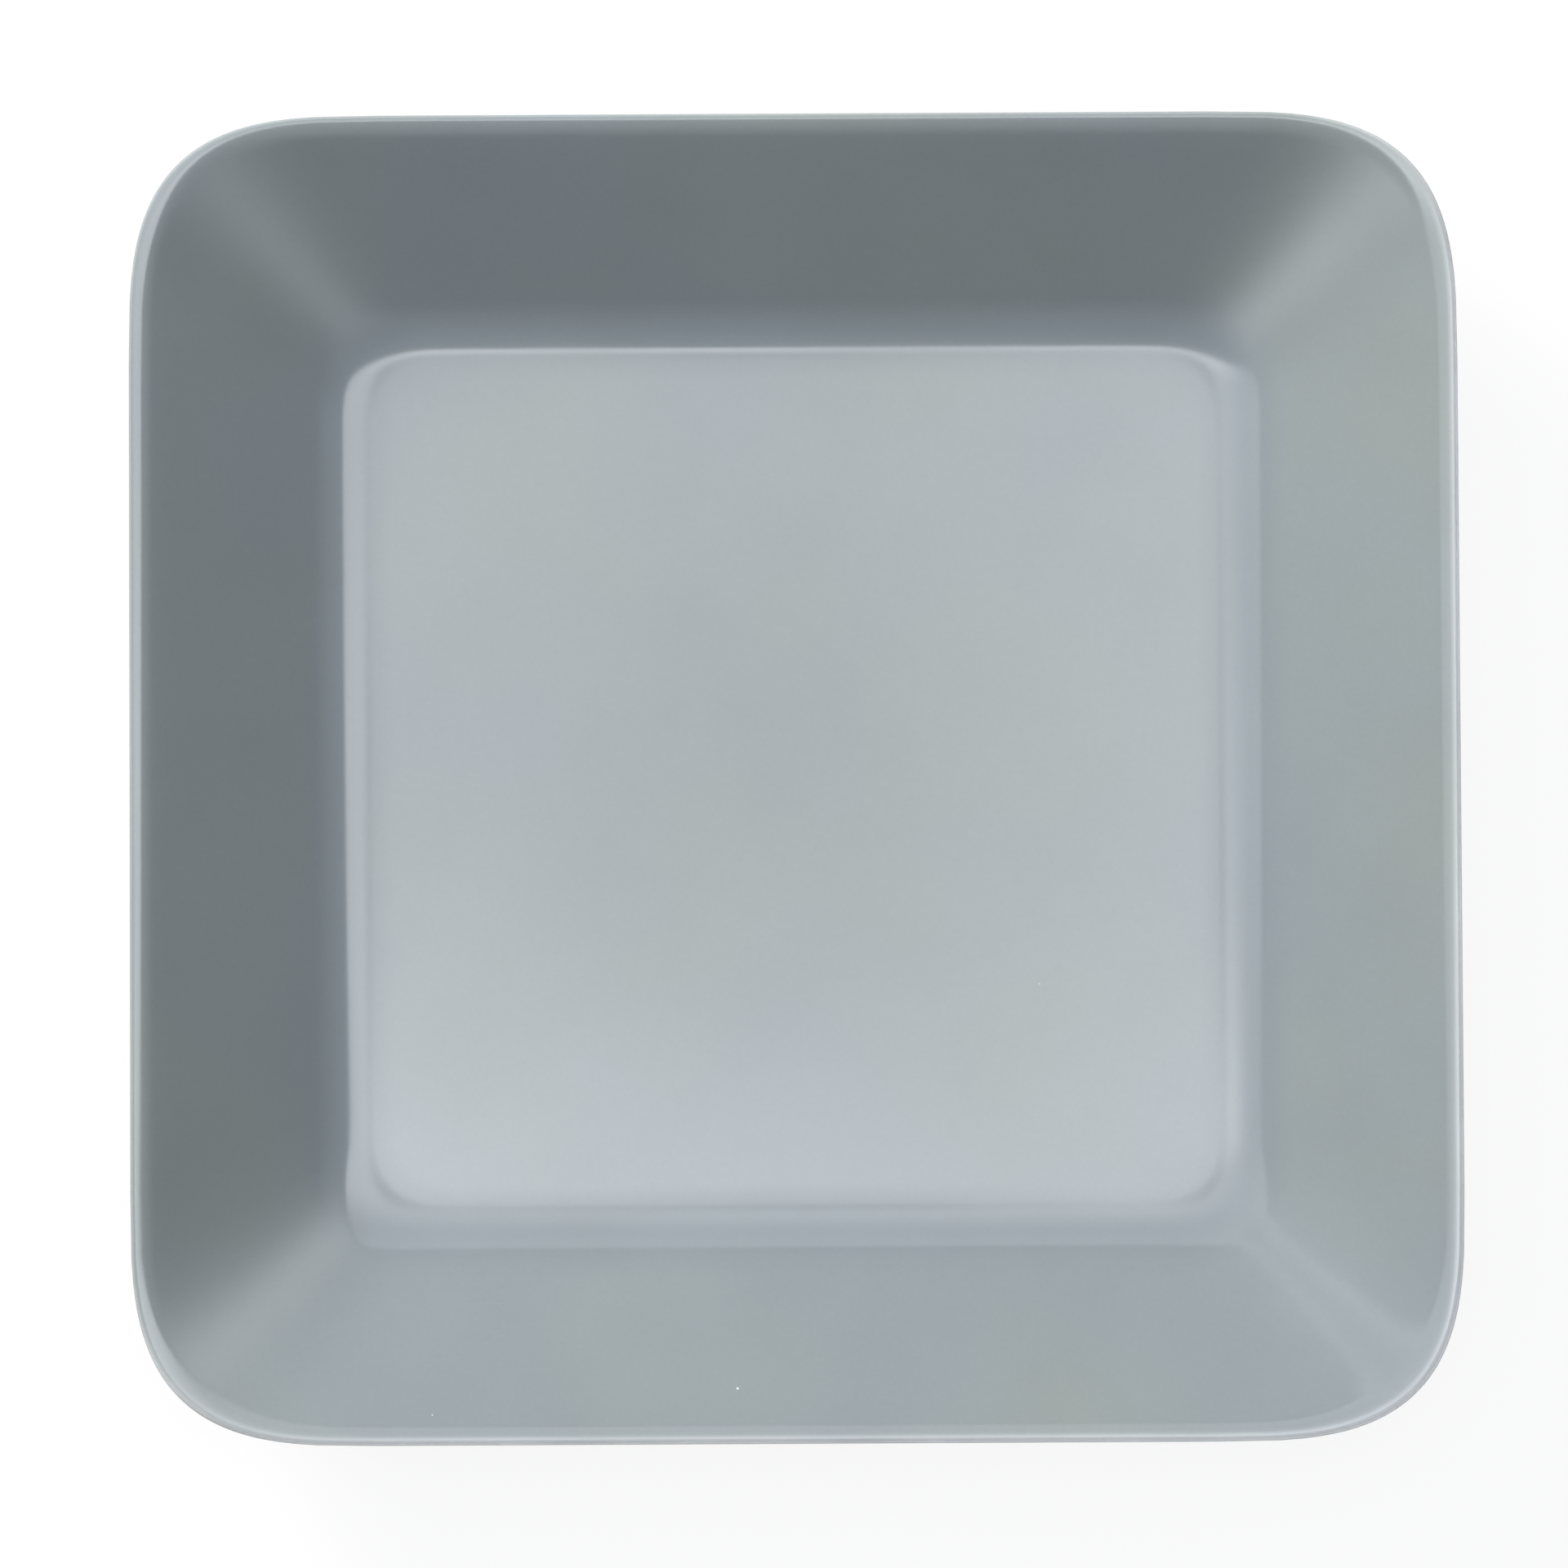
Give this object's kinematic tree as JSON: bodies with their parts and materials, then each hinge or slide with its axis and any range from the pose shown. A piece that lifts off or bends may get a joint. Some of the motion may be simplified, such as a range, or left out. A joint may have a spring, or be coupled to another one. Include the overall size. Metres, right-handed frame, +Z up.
{
  "type": "square dinner plate",
  "caption": "Square glazed stoneware dinner plate with rounded corners, a flat well, a sloping rim that levels out at the lip, and a foot ring with a bare edge.",
  "frame": {"origin": "on the table, under the middle of the plate, at the centre of the foot ring's standing face", "axes": "+Z up out of the well; +X and +Y square to the straight sides, +Y towards the side that is up in the picture"},
  "size_m": [0.24, 0.24, 0.027],
  "materials": {
    "fired_clay": "bare fired clay, ground smooth on the foot",
    "grey_glaze": "glossy blue-grey glaze"
  },
  "bodies": {
    "root": {"stoneware_body": "fired_clay", "face_glaze": "grey_glaze", "base_glaze": "grey_glaze"}
  },
  "joints": []
}
